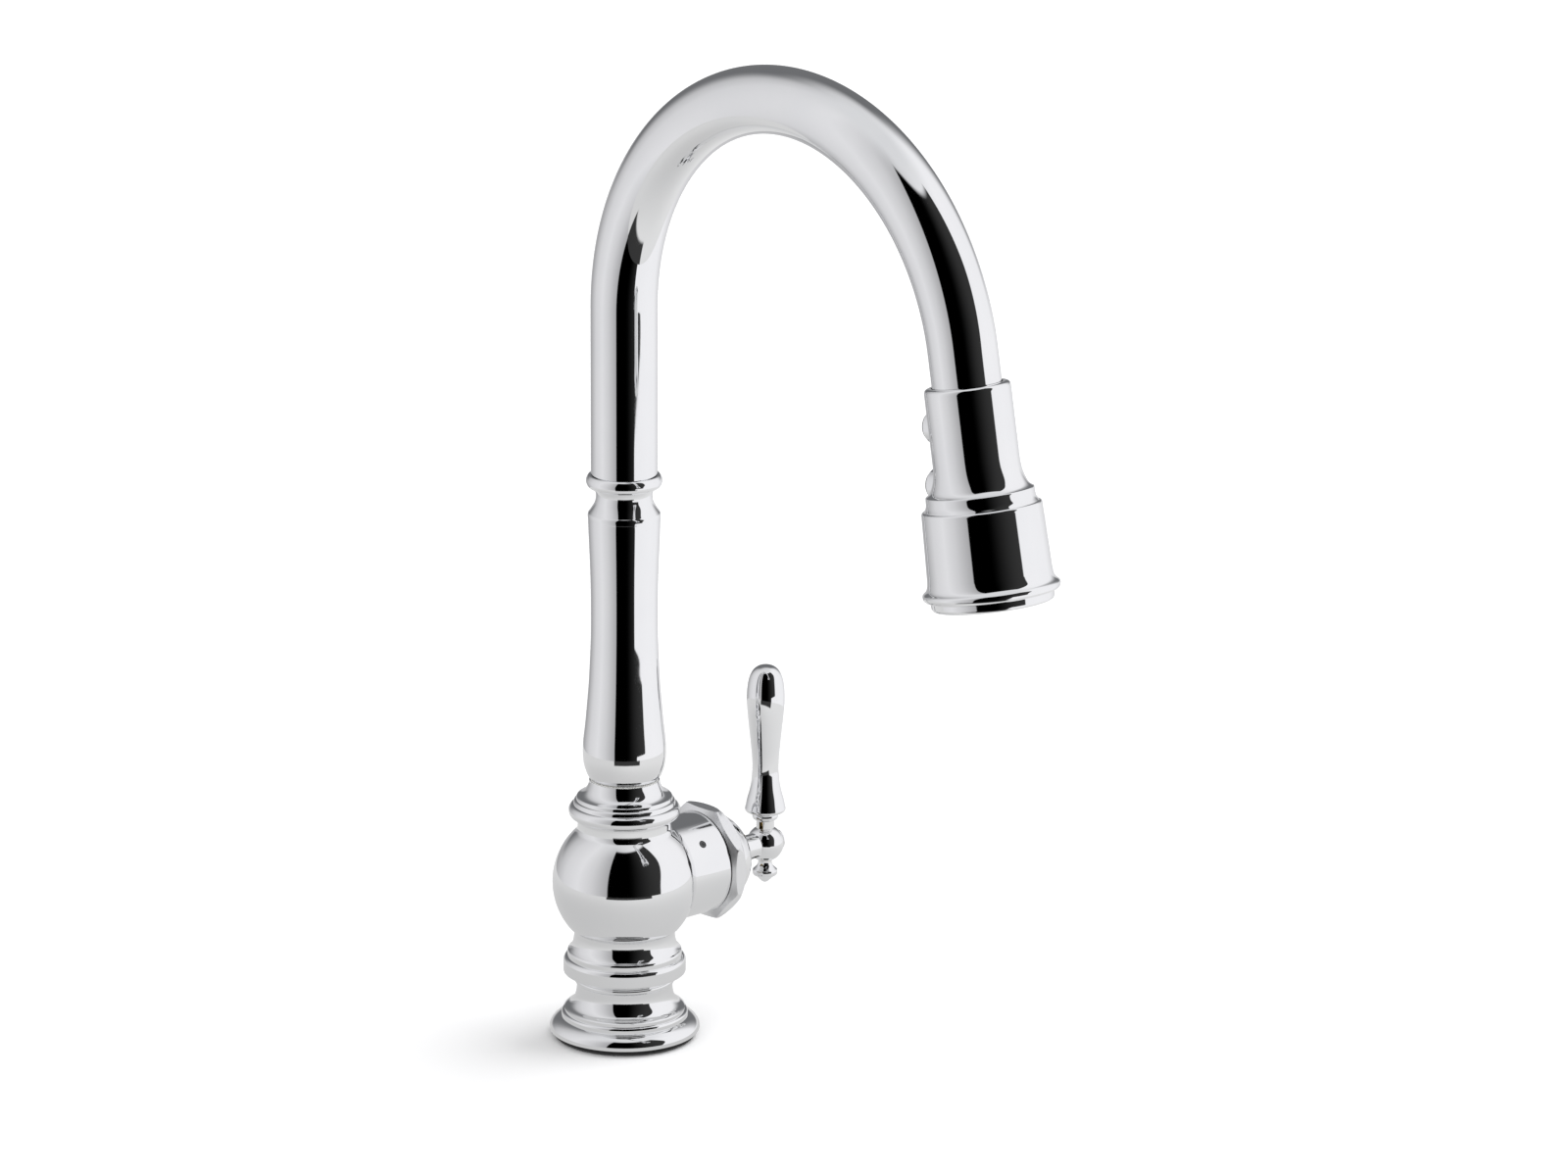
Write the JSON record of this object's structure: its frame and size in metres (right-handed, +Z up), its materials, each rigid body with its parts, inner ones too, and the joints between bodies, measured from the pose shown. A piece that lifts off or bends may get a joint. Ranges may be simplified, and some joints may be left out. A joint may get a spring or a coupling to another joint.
{
  "type": "pull-down kitchen faucet",
  "caption": "Single-lever chrome kitchen faucet with a ball-shaped body, high arched swivel spout and a docking pull-down spray head with push buttons.",
  "frame": {"origin": "centre of the base on the deck surface, on the axis of the mounting shank and of the spout swivel", "axes": "+Z up along the column, the spout reaches towards -Y, the lever is on the +X side"},
  "size_m": [0.1237, 0.2892, 0.5748],
  "materials": {
    "chrome": "polished chrome plate",
    "brass": "machined",
    "steel": "plain",
    "copper": "drawn copper",
    "rubber": "matte",
    "hose": "braided nylon",
    "white_plastic": "moulded",
    "ceramic": "lapped ceramic",
    "dark_plastic": "moulded",
    "button_plastic": "moulded, satin",
    "grey_plastic": "moulded"
  },
  "bodies": {
    "deck_body": {"deck_gasket": "rubber", "base_flange": "chrome", "body_shell": "chrome", "collar_ring": "chrome", "swivel_bearing": "white_plastic", "thrust_washer": "white_plastic", "threaded_shank": "brass", "deck_washer": "rubber", "clamp_washer": "steel", "mounting_nut": "brass", "clamp_screws": "steel", "hot_tail": "copper", "cold_tail": "copper", "outlet_tail": "copper", "tail_fittings": "brass", "valve_manifold": "brass", "cartridge_seal": "rubber", "cartridge_body": "white_plastic", "fixed_disc": "ceramic", "cartridge_retainer": "brass", "bonnet_nut": "chrome", "bonnet_dome": "chrome", "port_plug": "dark_plastic"},
    "spout": {"vase_column": "chrome", "swivel_sleeve": "brass", "swivel_orings": "rubber", "swivel_clip": "steel", "neck_bead": "chrome", "gooseneck_tube": "chrome", "spout_tip": "chrome", "dock_ring": "dark_plastic", "dock_magnet": "steel", "spray_hose": "hose"},
    "handle_turn": {"moving_disc": "ceramic", "valve_spindle": "brass", "hinge_pin": "steel"},
    "handle_lever": {"handle_stem": "chrome", "hub_ball": "chrome", "hub_cap": "chrome", "lever_rod": "brass", "lever_collar": "chrome", "lever_grip": "chrome", "lever_finial": "chrome"},
    "hose_end": {"hose_ferrule": "brass", "swivel_ball": "brass", "hose_tail": "hose"},
    "spray_head": {"grip_shell": "chrome", "latch_plate": "steel", "socket_nut": "dark_plastic", "inner_body": "dark_plastic", "diverter_body": "dark_plastic", "cup_shell": "chrome", "face_skirt": "chrome", "spray_face": "grey_plastic", "spray_nozzles": "rubber", "aerator": "grey_plastic", "pad_upper": "rubber", "pad_lower": "rubber"},
    "button_top": {"button_upper": "button_plastic"},
    "button_bottom": {"button_lower": "button_plastic"}
  },
  "joints": [
    {"name": "spout_swivel", "type": "hinge", "parent": "deck_body", "child": "spout", "pos_m": [0, 0, 0.11], "axis": [0, 0, 1], "continuous": true},
    {"name": "temperature_turn", "type": "hinge", "parent": "deck_body", "child": "handle_turn", "pos_m": [0.05, 0, 0.0697], "axis": [1, 0, 0], "range_deg": [-45, 45]},
    {"name": "flow_tilt", "type": "hinge", "parent": "handle_turn", "child": "handle_lever", "pos_m": [0.0602, 0, 0.0697], "axis": [0, 1, 0], "range_deg": [0, 20]},
    {"name": "spray_pull", "type": "slide", "parent": "spout", "child": "hose_end", "axis": [0, -0.1908, -0.9816], "range_m": [0, 0.22], "deforming": ["hose_tail"]},
    {"name": "spray_spin", "type": "hinge", "parent": "hose_end", "child": "spray_head", "pos_m": [0, -0.21005, 0.34673], "axis": [0, -0.1908, -0.9816], "continuous": true},
    {"name": "button_top_press", "type": "slide", "parent": "spray_head", "child": "button_top", "axis": [0, -0.9816, 0.1908], "range_m": [0, 0.0012], "stiffness_N_per_m": 1200, "springref_m": -0.001, "deforming": ["pad_upper"]},
    {"name": "button_bottom_press", "type": "slide", "parent": "spray_head", "child": "button_bottom", "axis": [0, -0.9816, 0.1908], "range_m": [0, 0.0012], "stiffness_N_per_m": 1200, "springref_m": -0.001, "deforming": ["pad_lower"]}
  ]
}
